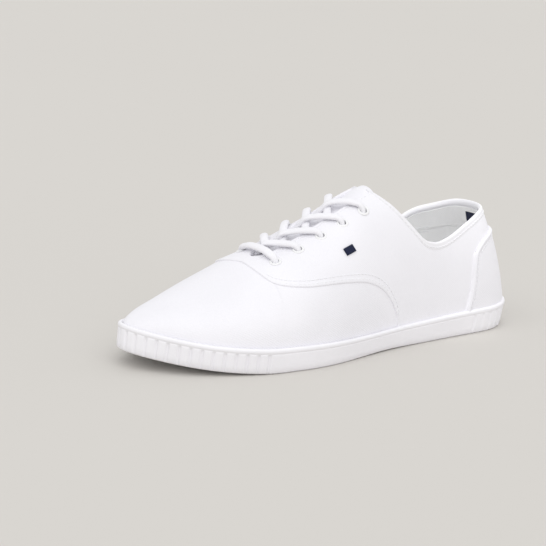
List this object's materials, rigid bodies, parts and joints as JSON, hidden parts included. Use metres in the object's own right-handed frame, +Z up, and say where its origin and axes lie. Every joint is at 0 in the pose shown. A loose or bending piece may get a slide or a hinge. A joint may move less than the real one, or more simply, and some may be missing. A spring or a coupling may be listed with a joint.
{
  "type": "low canvas sneaker",
  "caption": "Left low-cut canvas lace-up sneaker with a vulcanised rubber sole, ribbed toe bumper and heel, empty and unworn.",
  "frame": {"origin": "middle of the sole's outline seen from above, on the ground", "axes": "+X toward the toe, +Y toward the outer side of the left foot, +Z up"},
  "size_m": [0.2618, 0.0999, 0.0886],
  "materials": {
    "sole": "smooth vulcanised rubber, off-white",
    "insole": "brushed cotton over foam, off-white",
    "upper": "plain-weave cotton canvas, white",
    "tongue": "plain-weave cotton canvas, white",
    "heel_patch": "canvas with a piped edge, white",
    "collar_binding": "folded cotton tape, white",
    "side_tab": "plain woven tape, navy",
    "heel_tape": "plain woven tape, navy",
    "lace": "flat woven cotton lace, white",
    "eyelet": "white enamel"
  },
  "bodies": {
    "root": {"sole": "sole", "insole": "insole", "upper": "upper", "tongue": "tongue", "heel_patch": "heel_patch", "collar_binding": "collar_binding", "side_tab": "side_tab", "heel_tape": "heel_tape", "lace_bar": "lace", "lace_crossing_1": "lace", "lace_crossing_2": "lace", "lace_crossing_3": "lace", "lace_crossing_4": "lace", "eyelet_lateral_1": "eyelet", "eyelet_lateral_2": "eyelet", "eyelet_lateral_3": "eyelet", "eyelet_lateral_4": "eyelet", "eyelet_lateral_5": "eyelet", "eyelet_medial_1": "eyelet", "eyelet_medial_2": "eyelet", "eyelet_medial_3": "eyelet", "eyelet_medial_4": "eyelet", "eyelet_medial_5": "eyelet"}
  },
  "joints": []
}
